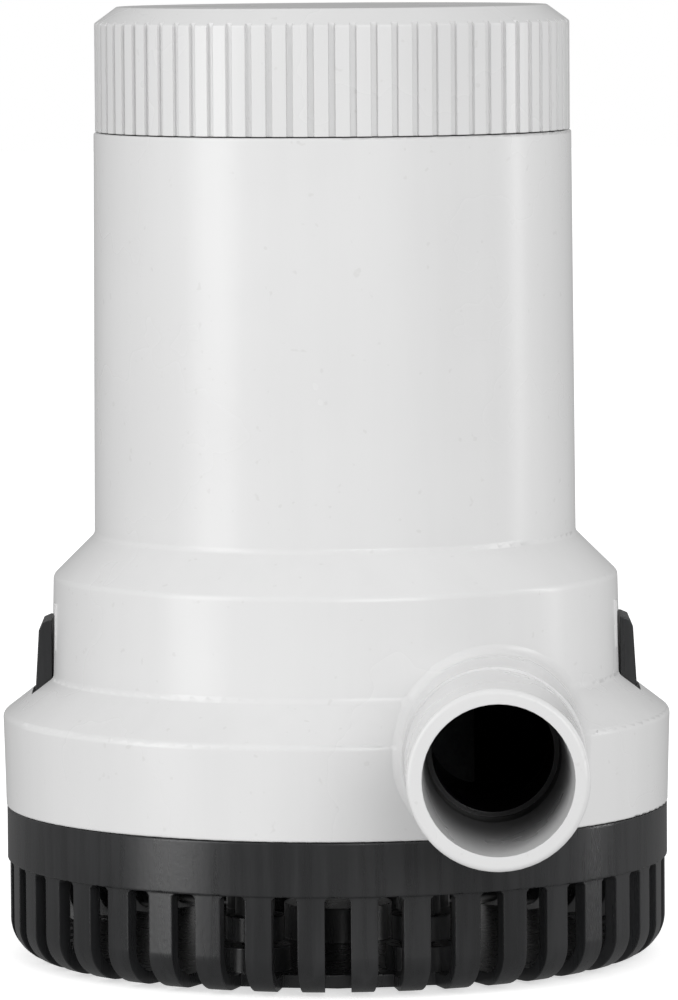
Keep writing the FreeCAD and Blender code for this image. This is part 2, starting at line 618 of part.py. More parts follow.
def pump_body():
    body = new_body("pump_body")
    spin(body, "casing", [
        ("skirt_r", "skirt_low", "edge_round"),
        ("lip_r", "lip_z", "rim_round"),
        ("ring_r", "ring_low", "rim_round"),
        ("ring_r - ring_draft", "ring_top", "rim_round"),
        ("body_r", "cone_top", "rim_round"),
        ("body_r - body_draft", "casing_top", "edge_round"),
        ("body_r - ring_groove_outer", "casing_top"),
        ("body_r - ring_groove_outer", "casing_top - ring_groove_depth"),
        ("body_r - ring_groove_inner", "casing_top - ring_groove_depth"),
        ("body_r - ring_groove_inner", "casing_top"),
        ("neck_r", "casing_top"),
        ("neck_r", "casing_top + neck_height", "edge_round"),
        ("neck_r - neck_wall", "casing_top + neck_height"),
        ("neck_r - neck_wall", "casing_top + neck_wall * 0.4"),
        ("casing_in_r - body_draft * 0.5", "casing_top - ring_groove_depth * 2.4"),
        ("casing_in_r", "cone_top - casing_wall * 0.3"),
        ("ring_in_r - ring_draft", "ring_top - casing_wall * 0.3"),
        ("ring_in_r - ring_draft", "deck_z"),
        ("can_r", "deck_z"),
        ("can_r", "seat_z"),
        ("can_r - seat_width", "seat_z"),
        ("can_r - seat_width", "deck_z"),
        ("seal_r + seal_boss_wall", "deck_z"),
        ("seal_r + seal_boss_wall", "seal_top + seal_ledge"),
        ("seal_r", "seal_top + seal_ledge"),
        ("seal_r", "seal_low"),
        ("seal_ledge_r", "seal_low"),
        ("seal_ledge_r", "ceiling_z"),
        ("ring_in_r - ring_draft", "ceiling_z"),
        ("ring_in_r - ring_draft", "ring_low - shelf_drop + shelf_slope * ( ring_wall + ring_draft )"),
        ("skirt_in_r", "lip_z - shelf_drop + shelf_slope * ( lip_r - skirt_in_r )"),
        ("skirt_in_r", "skirt_low"),
    ])
    wall = new_sketch(body, "volute_outline", "XY_Plane", "volute_floor")
    end = value("spiral_end_r + volute_wall")
    angle = -math.radians(value("cutwater_angle"))
    first = value("cutwater_r + volute_wall")
    corner = Vector(first * math.cos(angle) + 1.8, first * math.sin(angle) - 1.4, 0)
    draw_spiral(wall, value("volute_wall"), [Vector(end, -value("volute_wall") - 0.8, 0), corner])
    extrude(body, "volute_solid", wall, "ceiling_z - volute_floor + deck_wall * 0.2")
    screws = new_sketch(body, "screw_boss_circles", "XY_Plane", "volute_floor")
    threads = new_sketch(body, "screw_hole_circles", "XY_Plane", "volute_floor")
    for turn in ("screw_a", "screw_b", "screw_c", "screw_d"):
        across = "screw_ring * cos ( " + turn + " * 1deg )"
        up = "screw_ring * sin ( " + turn + " * 1deg )"
        draw_circle(screws, across, up, "screw_boss_r")
        draw_circle(threads, across, up, "screw_r + screw_clear")
    extrude(body, "screw_bosses", screws, "ceiling_z - volute_floor + deck_wall * 0.2")
    outlet_tube(body, "outlet_root", "spigot_r + spigot_step", "outlet_reach - spigot_length")
    spigot = outlet_tube(body, "outlet_spigot", "spigot_r", "outlet_reach")
    doc.recompute()
    rims = []
    for number, edge in enumerate(spigot.Shape.Edges, start=1):
        if isinstance(edge.Curve, Part.Circle) and abs(edge.Curve.Center.y + value("outlet_reach")) < 0.001:
            rims.append("Edge%d" % number)
    rim = body.newObject("PartDesign::Fillet", "spigot_rim_round")
    rim.Base = (spigot, rims)
    rim.setExpression("Radius", bind("spigot_round"))
    half = "tab_width * 0.5 + tab_side_clear"
    for side, name in (("", "right"), ("0 - ", "left")):
        near = side + "( pocket_r - volute_wall )"
        far = side + "( ring_r - ring_wall * 0.3 )"
        left, right = (near, far) if side == "" else (far, near)
        block(body, name + "_pocket_wall", "ceiling_z", "tab_top + pocket_headroom + volute_wall",
              left, right, "0 - ( " + half + " + volute_wall )", half + " + volute_wall")
        near = side + "( skirt_in_r - catch_reach )"
        far = side + "( skirt_in_r + skirt_wall * 0.4 )"
        left, right = (near, far) if side == "" else (far, near)
        block(body, name + "_catch", "catch_top - catch_thick", "catch_top", left, right,
              "0 - tab_width * 0.5", "tab_width * 0.5")
        near = side + "pocket_r"
        far = side + "( tab_outer_r + tab_flare + tab_slot_clear )"
        left, right = (near, far) if side == "" else (far, near)
        block(body, name + "_pocket", "catch_top + barb_height + catch_gap * 2", "tab_top + pocket_headroom",
              left, right, "0 - ( " + half + " )", half, "PartDesign::Pocket")
    gland = new_sketch(body, "gland_boss_circle", "XZ_Plane", "0 - casing_in_r - casing_wall * 0.6")
    draw_circle(gland, "0", "gland_z", "gland_boss_r")
    extrude(body, "gland_boss", gland, "gland_face - casing_in_r - casing_wall * 0.6", away=True)
    bore = new_sketch(body, "gland_bore_circle", "XZ_Plane", "0 - can_r - gland_collar")
    draw_circle(bore, "0", "gland_z", "gland_bore_r")
    extrude(body, "gland_bore", bore, "gland_face", "PartDesign::Pocket")
    trim = new_sketch(body, "under_trim_circle", "XY_Plane", "skirt_low")
    draw_circle(trim, "0", "0", "skirt_r")
    extrude(body, "under_trim", trim, "skirt_low", "PartDesign::Pocket")
    recess = new_sketch(body, "cover_recess_circle", "XY_Plane", "volute_floor")
    draw_circle(recess, "0", "0", "cover_r + cover_clear")
    extrude(body, "cover_recess", recess, "volute_floor", "PartDesign::Pocket")
    chamber = new_sketch(body, "chamber_outline", "XY_Plane", "volute_floor")
    draw_spiral(chamber, 0, [])
    extrude(body, "chamber", chamber, "ceiling_z - volute_floor", "PartDesign::Pocket", True)
    extrude(body, "screw_holes", threads, "screw_depth + 1", "PartDesign::Pocket", True)
    column(body, "seal_bore", "seal_low", "seal_mid", "0", "0", "seal_r", "PartDesign::Pocket")
    column(body, "hub_hole", "ceiling_z - 1", "seal_mid", "0", "0", "seal_ledge_r", "PartDesign::Pocket")
    throat = new_sketch(body, "throat_circle", "XZ_Plane")
    draw_circle(throat, "outlet_x", "outlet_z", "throat_r")
    extrude(body, "throat", throat, "outlet_reach + 1", "PartDesign::Pocket", True)
    taper = new_sketch(body, "bore_outline", "XY_Plane", "outlet_z")
    draw_outline(taper, [
        ("outlet_x", "bore_depth - outlet_reach"),
        ("outlet_x + bore_inner_r", "bore_depth - outlet_reach"),
        ("outlet_x + bore_face_r", "0 - outlet_reach"),
        ("outlet_x", "0 - outlet_reach"),
    ])
    cone = body.newObject("PartDesign::Groove", "tapered_bore")
    cone.Profile = taper
    cone.ReferenceAxis = (taper, ["Edge4"])
    cone.Angle = 360
    bolts = new_sketch(body, "bolt_hole_circles", "XY_Plane", "seat_z - bolt_bite")
    draw_circle(bolts, "0", "bolt_ring", "bolt_r")
    draw_circle(bolts, "0", "0 - bolt_ring", "bolt_r")
    extrude(body, "bolt_holes", bolts, "bolt_bite * 2", "PartDesign::Pocket", True)
    ridge(body, "neck_ridge", [
        ("neck_r - neck_wall * 0.2", "thread_z - thread_root_half"),
        ("neck_r + thread_depth", "thread_z - thread_crest_half"),
        ("neck_r + thread_depth", "thread_z + thread_crest_half"),
        ("neck_r - neck_wall * 0.2", "thread_z + thread_root_half"),
    ])
    return body


def top_cap():
    body = new_body("top_cap")
    spin(body, "cup", [
        ("0", "cap_top"),
        ("cap_r - cap_chamfer_run", "cap_top", "edge_round"),
        ("cap_r", "cap_shoulder", "edge_round"),
        ("cap_r", "cap_low"),
        ("cap_in_r", "cap_low"),
        ("cap_in_r", "cap_top - cap_top_wall"),
        ("0", "cap_top - cap_top_wall"),
    ])
    groove = new_sketch(body, "rib_groove_outline", "XY_Plane", "cap_low - 1")
    half = "rib_groove_width * 0.5"
    draw_outline(groove, box_outline("cap_r - rib_groove_depth", "cap_r + 1", "0 - " + half, half))
    cut = extrude(body, "rib_groove", groove, "cap_top - cap_low + 2", "PartDesign::Pocket", True)
    repeat_round(body, "rib_grooves", [cut], "rib_groove_count")
    start = "thread_z - thread_pitch * 0.5"
    ridge(body, "cap_ridge", [
        ("cap_in_r + cap_wall * 0.1", start + " - thread_root_half"),
        ("cap_in_r + cap_wall * 0.1", start + " + thread_root_half"),
        ("cap_in_r - thread_depth", start + " + thread_crest_half"),
        ("cap_in_r - thread_depth", start + " - thread_crest_half"),
    ])
    return body


def cap_seal_ring():
    body = new_body("cap_seal_ring")
    sketch = new_sketch(body, "ring_section", "XZ_Plane")
    centre = "body_r - ( ring_groove_inner + ring_groove_outer ) * 0.5"
    draw_circle(sketch, centre, "cap_low - ring_section_r", "ring_section_r")
    ring = body.newObject("PartDesign::Revolution", "ring")
    ring.Profile = sketch
    ring.ReferenceAxis = (sketch, ["V_Axis"])
    ring.Angle = 360
    return body


def release_tab(label, turn):
    body = new_body(label)
    side = new_sketch(body, "tab_side", "XZ_Plane")
    lean = "tab_outer_r - tab_lean"
    draw_outline(side, [
        ("tab_inner_r", "pivot_z + pivot_r * 0.7"),
        ("tab_outer_r", "pivot_z + pivot_r * 0.7"),
        ("tab_outer_r", "barb_low"),
        ("tab_outer_r + barb_reach", "barb_low"),
        ("tab_outer_r + barb_reach", "barb_low + barb_height * 0.3"),
        ("tab_outer_r", "barb_low + barb_height"),
        ("tab_outer_r + tab_flare", "ring_low - shelf_rise * 0.3"),
        (lean, "tab_top - tab_round"),
        (lean + " - tab_round * 0.3", "tab_top - tab_round * 0.3"),
        (lean + " - tab_round", "tab_top"),
        ("tab_inner_r", "tab_top"),
    ])
    extrude(body, "arm", side, "tab_width", both=True)
    foot = new_sketch(body, "pivot_circle", "XZ_Plane")
    draw_circle(foot, "pivot_x", "pivot_z", "pivot_r")
    extrude(body, "pivot", foot, "tab_width", both=True)
    body.Placement = Placement(Vector(0, 0, 0), Rotation(Vector(0, 0, 1), turn))
    return body


def volute_cover():
    body = new_body("volute_cover")
    spin(body, "disc", [
        ("eye_r", "cover_low - eye_lip"),
        ("eye_r + eye_lip_wall", "cover_low - eye_lip"),
        ("eye_r + eye_lip_wall", "cover_low"),
        ("cover_r", "cover_low"),
        ("cover_r", "cover_top"),
        ("eye_r", "cover_top"),
    ])
    legs = new_sketch(body, "leg_circles", "XY_Plane", "pad_low")
    pads = new_sketch(body, "pad_circles", "XY_Plane", "pad_low")
    for side in ("", "0 - "):
        for end in ("", "0 - "):
            draw_circle(legs, side + "hole_half_x", end + "hole_y", "leg_r")
            draw_circle(pads, side + "hole_half_x", end + "hole_y", "pad_r")
    extrude(body, "legs", legs, "cover_low + cover_thick * 0.5 - pad_low")
    extrude(body, "pads", pads, "pad_height")
    holes = new_sketch(body, "screw_hole_circles", "XY_Plane", "cover_low - 1")
    for turn in ("screw_a", "screw_b", "screw_c", "screw_d"):
        draw_circle(holes, "screw_ring * cos ( " + turn + " * 1deg )",
                    "screw_ring * sin ( " + turn + " * 1deg )", "screw_r + screw_clear")
    extrude(body, "screw_holes", holes, "cover_thick + 2", "PartDesign::Pocket", True)
    return body


def cover_gasket():
    body = new_body("cover_gasket")
    sketch = new_sketch(body, "gasket_outline", "XY_Plane", "cover_top")
    draw_circle(sketch, "0", "0", "cover_r")
    draw_circle(sketch, "0", "0", "cutwater_r - volute_wall * 0.5")
    for turn in ("screw_a", "screw_b", "screw_c", "screw_d"):
        draw_circle(sketch, "screw_ring * cos ( " + turn + " * 1deg )",
                    "screw_ring * sin ( " + turn + " * 1deg )", "screw_r + screw_clear")
    extrude(body, "sheet", sketch, "gasket_thick")
    return body


def cover_screw(label, turn):
    body = new_body(label)
    column(body, "head", "cover_low - screw_head_rise", "cover_low", "0", "0", "screw_head_r")
    column(body, "shank", "cover_low - screw_head_rise * 0.5", "volute_floor + screw_depth", "0", "0",
           "screw_r")
    for name, half_x, half_y in (("slot_one", "screw_head_r * 0.6", "screw_r * 0.2"),
                                 ("slot_two", "screw_r * 0.2", "screw_head_r * 0.6")):
        block(body, name, "cover_low - screw_head_rise - 1", "cover_low - screw_head_rise * 0.4",
              "0 - " + half_x, half_x, "0 - " + half_y, half_y, "PartDesign::Pocket")
    angle = math.radians(value(turn))
    ring = value("screw_ring")
    body.Placement = Placement(Vector(ring * math.cos(angle), ring * math.sin(angle), 0), Rotation())
    return body


def impeller():
    body = new_body("impeller")
    spin(body, "hub_and_disc", [
        ("shaft_r", "vane_low + shaft_foot"),
        ("hub_r", "vane_low + shaft_foot"),
        ("hub_r", "disc_top - impeller_disc"),
        ("impeller_r", "disc_top - impeller_disc"),
        ("impeller_r", "disc_top"),
        ("hub_r", "disc_top"),
        ("hub_r - 0.5", "ceiling_z - hub_top_gap"),
        ("shaft_r", "ceiling_z - hub_top_gap"),
    ])
    vane = new_sketch(body, "vane_outline", "XY_Plane", "vane_low")
    radii = [value("vane_start_r"), value("( vane_start_r + impeller_r ) * 0.5"), value("impeller_r - 0.05")]
    sweep = math.radians(value("vane_sweep"))
    half = value("vane_thick") / 2
    inner = []
    outer = []
    for number, radius in enumerate(radii):
        angle = sweep * number / 2
        offset = half / radius * 1.25
        inner.append(Vector(radius * math.cos(angle - offset), radius * math.sin(angle - offset), 0))
        outer.append(Vector(radius * math.cos(angle + offset), radius * math.sin(angle + offset), 0))
    vane.addGeometry(Part.Arc(inner[0], inner[1], inner[2]), False)
    vane.addGeometry(Part.LineSegment(inner[2], outer[2]), False)
    vane.addGeometry(Part.Arc(outer[0], outer[1], outer[2]), False)
    vane.addGeometry(Part.LineSegment(outer[0], inner[0]), False)
    blade = extrude(body, "vane", vane, "disc_top - impeller_disc * 0.5 - vane_low")
    bridge = block(body, "vane_root", "vane_low + shaft_foot", "disc_top - impeller_disc * 0.5",
                   "hub_r * 0.8", "vane_start_r + vane_thick * 0.5", "0 - vane_thick * 0.5",
                   "vane_thick * 0.5")
    repeat_round(body, "vanes", [blade, bridge], "vane_count")
    return body


def motor_shaft():
    body = new_body("motor_shaft")
    spin(body, "rod", [
        ("0", "vane_low + shaft_foot"),
        ("shaft_r", "vane_low + shaft_foot"),
        ("shaft_r", "shaft_top - 0.5"),
        ("shaft_r - 0.5", "shaft_top"),
        ("0", "shaft_top"),
    ])
    return body


def lip_seal(label, low, high):
    body = new_body(label)
    inner = "shaft_r + running_clear"
    spin(body, "lip", [
        (inner, low + " + seal_height * 0.3"),
        ("shaft_r + 1.2", low + " + seal_height * 0.1"),
        ("shaft_r + 1.6", low),
        ("seal_r", low),
        ("seal_r", high),
        ("shaft_r + 2.6", high),
        ("shaft_r + 2.2", low + " + seal_height * 0.4"),
        (inner, low + " + seal_height * 0.6"),
    ])
    return body


def drive_end_plate():
    body = new_body("drive_end_plate")
    spin(body, "plate", [
        ("bearing_lip_r", "seat_z"),
        ("can_r", "seat_z"),
        ("can_r", "can_low"),
        ("bearing_r + hub_wall", "can_low"),
        ("bearing_r + hub_wall", "seat_z + bearing_lip + bearing_height"),
        ("bearing_r", "seat_z + bearing_lip + bearing_height"),
        ("bearing_r", "seat_z + bearing_lip"),
        ("bearing_lip_r", "seat_z + bearing_lip"),
    ])
    bolts = new_sketch(body, "bolt_hole_circles", "XY_Plane", "seat_z - 1")
    draw_circle(bolts, "0", "bolt_ring", "bolt_r")
    draw_circle(bolts, "0", "0 - bolt_ring", "bolt_r")
    extrude(body, "bolt_holes", bolts, "plate_thick + 2", "PartDesign::Pocket", True)
    return body


def bearing(label, low):
    body = new_body(label)
    spin(body, "race", [
        ("shaft_r + running_clear", low),
        ("bearing_r", low),
        ("bearing_r", low + " + bearing_height"),
        ("shaft_r + running_clear", low + " + bearing_height"),
    ])
    return body


def motor_can():
    body = new_body("motor_can")
    spin(body, "tube", [
        ("can_in_r", "can_low"), ("can_r", "can_low"), ("can_r", "can_top"), ("can_in_r", "can_top")])
    return body


def field_magnet(label, turn):
    body = new_body(label)
    sketch = new_sketch(body, "arc_outline", "XZ_Plane")
    draw_outline(sketch, box_outline("magnet_in_r", "can_in_r", "can_low + magnet_low_gap",
                                     "can_top - magnet_top_gap"))
    arc = body.newObject("PartDesign::Revolution", "arc")
    arc.Profile = sketch
    arc.ReferenceAxis = (sketch, ["V_Axis"])
    arc.setExpression("Angle", bind("magnet_angle"))
    arc.Midplane = True
    body.Placement = Placement(Vector(0, 0, 0), Rotation(Vector(0, 0, 1), turn))
    return body


def tie_bolt(label, side):
    body = new_body(label)
    column(body, "shank", "seat_z - bolt_bite", "end_plate_top + bolt_head_rise * 0.5", "0", "0", "bolt_r")
    column(body, "head", "end_plate_top", "end_plate_top + bolt_head_rise", "0", "0", "bolt_head_r")
    block(body, "driver_slot", "end_plate_top + bolt_head_rise * 0.6", "end_plate_top + bolt_head_rise * 2",
          "0 - bolt_head_r", "bolt_head_r", "0 - bolt_r * 0.25", "bolt_r * 0.25", "PartDesign::Pocket")
    body.Placement = Placement(Vector(0, side * value("bolt_ring"), 0), Rotation())
    return body


def armature_core():
    body = new_body("armature_core")
    spin(body, "stack", [
        ("shaft_r", "core_low"), ("core_r", "core_low"), ("core_r", "core_top"), ("shaft_r", "core_top")])
    half = "core_slot_width * 0.5"
    cut = block(body, "slot", "core_low - 1", "core_top + 1", "core_r - core_slot_depth", "core_r + 1",
                "0 - " + half, half, "PartDesign::Pocket")
    repeat_round(body, "slots", [cut], "core_slot_count")
    return body


def armature_windings():
    body = new_body("armature_windings")
    outer = "core_r - winding_inset"
    for name, low, high in (("lower_end", "core_low - winding_overhang", "core_low"),
                            ("upper_end", "core_top", "core_top + winding_overhang")):
        inset = "winding_overhang * 0.3"
        tip, root = (low, high) if name == "lower_end" else (high, low)
        toward = " + " if name == "lower_end" else " - "
        spin(body, name, [
            ("winding_inner_r", root),
            ("winding_inner_r", tip + toward + inset),
            ("winding_inner_r + " + inset, tip),
            (outer + " - " + inset, tip),
            (outer, tip + toward + inset),
            (outer, root),
        ])
        if name == "lower_end":
            half = "( core_slot_width * 0.5 - winding_clear )"
            bar = block(body, "slot_side", "core_low - winding_overhang * 0.5",
                        "core_top + winding_overhang * 0.5",
                        "core_r - core_slot_depth + winding_clear", outer, "0 - " + half, half)
            repeat_round(body, "slot_sides", [bar], "core_slot_count")
    return body


def commutator():
    body = new_body("commutator")
    spin(body, "barrel", [
        ("shaft_r", "comm_low"), ("comm_r", "comm_low"), ("comm_r", "comm_low + comm_height"),
        ("shaft_r", "comm_low + comm_height")])
    half = "comm_cut * 0.5"
    cut = block(body, "bar_cut", "comm_low - 1", "comm_low + comm_height + 1", "comm_r - 0.8", "comm_r + 1",
                "0 - " + half, half, "PartDesign::Pocket")
    repeat_round(body, "bar_cuts", [cut], "comm_bars")
    return body


def carbon_brush(label, turn):
    body = new_body(label)
    half = "brush_half_width"
    block(body, "carbon", "brush_z - brush_height * 0.5", "brush_z + brush_height * 0.5", "comm_r * 0.8",
          "comm_r + brush_length", "0 - " + half, half)
    column(body, "seat", "brush_z - brush_height", "brush_z + brush_height", "0", "0",
           "comm_r + running_clear", "PartDesign::Pocket")
    body.Placement = Placement(Vector(0, 0, 0), Rotation(Vector(0, 0, 1), turn))
    return body


def brush_holder(label, turn):
    body = new_body(label)
    half = "( brush_half_width + brush_clear + holder_wall )"
    low = "brush_z - brush_height * 0.5 - brush_clear - holder_wall"
    block(body, "case", low, "can_top", "comm_r + holder_start", "holder_end", "0 - " + half, half)
    inner = "( brush_half_width + brush_clear )"
    block(body, "channel", "brush_z - brush_height * 0.5 - brush_clear",
          "brush_z + brush_height * 0.5 + brush_clear", "comm_r", "holder_end - holder_wall",
          "0 - " + inner, inner, "PartDesign::Pocket")
    body.Placement = Placement(Vector(0, 0, 0), Rotation(Vector(0, 0, 1), turn))
    return body


def brush_spring(label, turn):
    """A coil between the brush and the closed end of its holder."""
    start = value("comm_r + brush_length")
    length = value("holder_end - holder_wall") - start
    wire = value("spring_wire_r")
    coil_r = value("spring_r")
    pitch = (length - 2 * wire) / value("spring_turns")
    helix = Part.makeHelix(pitch, length - 2 * wire, coil_r)
    circle = Part.Wire([Part.makeCircle(wire, Vector(coil_r, 0, 0), Vector(0, 1, 0))])
    coil = Part.Wire(helix.Edges).makePipeShell([circle], True, True)
    spring = doc.addObject("Part::Feature", label)
    spring.Label = label
    spring.Shape = coil
    along = Rotation(Vector(0, 1, 0), 90)
    spring.Placement = Placement(Rotation(Vector(0, 0, 1), turn).multVec(
        Vector(start + wire, 0, value("brush_z"))), Rotation(Vector(0, 0, 1), turn) * along)
    return spring


def brush_end_plate():
    body = new_body("brush_end_plate")
    spin(body, "plate", [
        ("bearing_lip_r", "can_top"),
        ("can_r", "can_top"),
        ("can_r", "end_plate_top"),
        ("bearing_r + hub_wall", "end_plate_top"),
        ("bearing_r + hub_wall", "upper_bearing_top"),
        ("bearing_r", "upper_bearing_top"),
        ("bearing_r", "upper_bearing_low"),
        ("bearing_lip_r", "upper_bearing_low"),
    ])
    holes = new_sketch(body, "hole_circles", "XY_Plane", "can_top - 1")
    draw_circle(holes, "0", "bolt_ring", "bolt_r")
    draw_circle(holes, "0", "0 - bolt_ring", "bolt_r")
    extrude(body, "bolt_holes", holes, "end_plate_thick + 2", "PartDesign::Pocket", True)
    return body


def noise_suppressor():
    body = new_body("noise_suppressor")
    sketch = new_sketch(body, "can_circle", "YZ_Plane")
    draw_circle(sketch, "0 - ( bearing_r + hub_wall + choke_r + 1 )", "end_plate_top + choke_r", "choke_r")
    extrude(body, "can", sketch, "choke_length", both=True)
    return body


def bent_wire(points, radius):
    """Straight runs joined by tangent arcs of one radius."""
    edges = []
    start = points[0]
    for before, corner, after in zip(points, points[1:], points[2:]):
        coming = (corner - before).normalize()
        leaving = (after - corner).normalize()
        half = coming.getAngle(leaving) / 2
        back = radius * math.tan(half)
        first = corner - coming * back
        last = corner + leaving * back
        inward = (leaving - coming).normalize()
        middle = corner + inward * (radius / math.cos(half) - radius)
        edges.append(Part.LineSegment(start, first).toShape())
        edges.append(Part.Arc(first, middle, last).toShape())
        start = last
    edges.append(Part.LineSegment(start, points[-1]).toShape())
    return Part.Wire(edges)


def inner_lead(label, side):
    """A lead from the brush end plate over the can and down to the gland."""
    across = side * value("lead_half_x")
    lead = value("lead_r")
    rim = value("( can_r + casing_in_r - body_draft ) * 0.5")
    top = value("end_plate_top + 4")
    path = [
        Vector(across, value("bearing_r + hub_wall + 3.5"), value("end_plate_top")),
        Vector(across, value("bearing_r + hub_wall + 3.5"), top),
        Vector(across, rim, top),
        Vector(across, rim, value("gland_z + gland_bore_r + 3")),
        Vector(side * lead * 1.3, rim, value("gland_z + 1")),
    ]
    circle = Part.Wire([Part.makeCircle(lead, path[0], Vector(0, 0, 1))])
    piece = doc.addObject("Part::Feature", label)
    piece.Label = label
    piece.Shape = bent_wire(path, lead * 2).makePipeShell([circle], True, True)
    return piece


def cable_gland():
    body = new_body("cable_gland")
    tube = new_sketch(body, "gland_circle", "XZ_Plane", "0 - casing_in_r")
    draw_circle(tube, "0", "gland_z", "gland_bore_r")
    extrude(body, "bush", tube, "gland_face + gland_collar - casing_in_r", away=True)
    rim = new_sketch(body, "collar_circle", "XZ_Plane", "0 - gland_face")
    draw_circle(rim, "0", "gland_z", "gland_bore_r + gland_collar * 2")
    extrude(body, "collar", rim, "gland_collar", away=True)
    hole = new_sketch(body, "cable_circle", "XZ_Plane")
    draw_circle(hole, "0", "gland_z", "gland_hole_r")
    extrude(body, "cable_hole", hole, "gland_face * 2", "PartDesign::Pocket")
    return body


def gland_nut():
    body = new_body("gland_nut")
    start = "gland_face + gland_collar + nut_end - nut_length"
    outer = new_sketch(body, "nut_circle", "XZ_Plane", "0 - ( " + start + " )")
    draw_circle(outer, "0", "gland_z", "gland_boss_r + nut_clear + nut_wall")
    extrude(body, "nut", outer, "nut_length", away=True)
    flutes = new_sketch(body, "flute_circles", "XZ_Plane", "0 - ( " + start + " )")
    count = int(value("nut_flutes"))
    for number in range(count):
        turn = "( %d * 360deg / nut_flutes )" % number
        ring = "( gland_boss_r + nut_clear + nut_wall + flute_r * 0.3 )"
        draw_circle(flutes, ring + " * cos " + turn, "gland_z + " + ring + " * sin " + turn, "flute_r")
    extrude(body, "flutes", flutes, "nut_length * 2", "PartDesign::Pocket")
    inner = new_sketch(body, "cup_circle", "XZ_Plane", "0 - ( " + start + " )")
    draw_circle(inner, "0", "gland_z", "gland_boss_r + nut_clear")
    extrude(body, "cup", inner, "nut_length - nut_end", "PartDesign::Pocket")
    hole = new_sketch(body, "cable_circle", "XZ_Plane")
    draw_circle(hole, "0", "gland_z", "gland_hole_r + nut_clear * 4")
    extrude(body, "cable_hole", hole, "gland_face * 2", "PartDesign::Pocket")
    return body


def check_and_write(pieces):
    doc.recompute()
    for item in doc.Objects:
        if "Invalid" in item.State or "Error" in item.State:
            raise RuntimeError("failed to rebuild: " + item.Label)
    for piece in pieces:
        shape = piece.Shape
        if shape.isNull() or not shape.isValid() or not shape.Solids:
            raise RuntimeError("no valid solid: " + piece.Label)
        path = "parts/" + piece.Label + ".step"
        shape.exportStep(path)
        if not Part.read(path).isValid():
            raise RuntimeError("not valid once written: " + piece.Label)
        print(piece.Label, len(shape.Solids), round(shape.Volume, 1))


fill_sheet()
check_and_write([
    strainer_base(),
    pump_body(),
    top_cap(),
    cap_seal_ring(),
    release_tab("right_release_tab", 0),
    release_tab("left_release_tab", 180),
    volute_cover(),
    cover_gasket(),
    cover_screw("cover_screw_1", "screw_a"),
    cover_screw("cover_screw_2", "screw_b"),
    cover_screw("cover_screw_3", "screw_c"),
    cover_screw("cover_screw_4", "screw_d"),
    impeller(),
    motor_shaft(),
    lip_seal("lower_lip_seal", "seal_low", "seal_mid"),
    lip_seal("upper_lip_seal", "seal_mid", "seal_top"),
    drive_end_plate(),
    bearing("drive_end_bearing", "seat_z + bearing_lip"),
    motor_can(),
    field_magnet("right_field_magnet", 0),
    field_magnet("left_field_magnet", 180),
    tie_bolt("rear_tie_bolt", 1),
    tie_bolt("front_tie_bolt", -1),
    armature_core(),
    armature_windings(),
    commutator(),
    carbon_brush("right_carbon_brush", 0),
    carbon_brush("left_carbon_brush", 180),
    brush_holder("right_brush_holder", 0),
    brush_holder("left_brush_holder", 180),
    brush_spring("right_brush_spring", 0),
    brush_spring("left_brush_spring", 180),
    brush_end_plate(),
    bearing("brush_end_bearing", "upper_bearing_low"),
    noise_suppressor(),
    inner_lead("right_inner_lead", 1),
    inner_lead("left_inner_lead", -1),
    cable_gland(),
    gland_nut(),
])
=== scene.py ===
# Bilge pump: finishes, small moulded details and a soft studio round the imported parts
import json
import math
import bmesh
import bpy
import numpy as np
from mathutils import Matrix


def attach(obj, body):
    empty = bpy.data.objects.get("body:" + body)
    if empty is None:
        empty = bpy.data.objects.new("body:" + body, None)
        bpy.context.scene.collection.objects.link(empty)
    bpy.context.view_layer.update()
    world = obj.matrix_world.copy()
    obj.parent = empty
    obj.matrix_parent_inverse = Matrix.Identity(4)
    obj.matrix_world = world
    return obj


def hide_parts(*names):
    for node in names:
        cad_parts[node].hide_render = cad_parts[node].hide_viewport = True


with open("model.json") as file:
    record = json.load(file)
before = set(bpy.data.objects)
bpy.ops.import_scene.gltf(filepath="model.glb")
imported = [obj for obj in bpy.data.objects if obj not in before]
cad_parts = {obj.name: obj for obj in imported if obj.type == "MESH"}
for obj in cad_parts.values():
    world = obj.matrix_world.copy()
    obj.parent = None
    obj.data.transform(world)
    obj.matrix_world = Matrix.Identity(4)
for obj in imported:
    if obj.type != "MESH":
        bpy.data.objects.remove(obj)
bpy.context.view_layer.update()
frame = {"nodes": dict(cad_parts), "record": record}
print("loaded", len(frame["nodes"]), "parts")

cameraSetup = {
    "lens": 255.6,                  # mm on a 36 mm sensor, a long lens
    "place": (0.00066, -1.177, 0.1731),
    "aim": (0.00066, 0.0, 0.0755),
    "roll": 0.4,                    # degrees, clockwise
}


def makeCamera(setup):
    data = bpy.data.cameras.new("studioCamera")
    data.lens = setup["lens"]
    data.sensor_width = 36.0
    data.clip_start = 0.05
    data.clip_end = 50.0
    camera = bpy.data.objects.new("studioCamera", data)
    bpy.context.scene.collection.objects.link(camera)
    place = np.array(setup["place"])
    ahead = np.array(setup["aim"]) - place
    ahead /= np.linalg.norm(ahead)
    right = np.cross(ahead, (0, 0, 1))
    right /= np.linalg.norm(right)
    up = np.cross(right, ahead)
    turn = math.radians(setup["roll"])
    rolledRight = right * math.cos(turn) - up * math.sin(turn)
    rolledUp = up * math.cos(turn) + right * math.sin(turn)
    matrix = np.eye(4)
    matrix[:3, 0] = rolledRight
    matrix[:3, 1] = rolledUp
    matrix[:3, 2] = -ahead
    matrix[:3, 3] = place
    camera.matrix_world = Matrix(matrix.tolist())
    bpy.context.scene.camera = camera


makeCamera(cameraSetup)


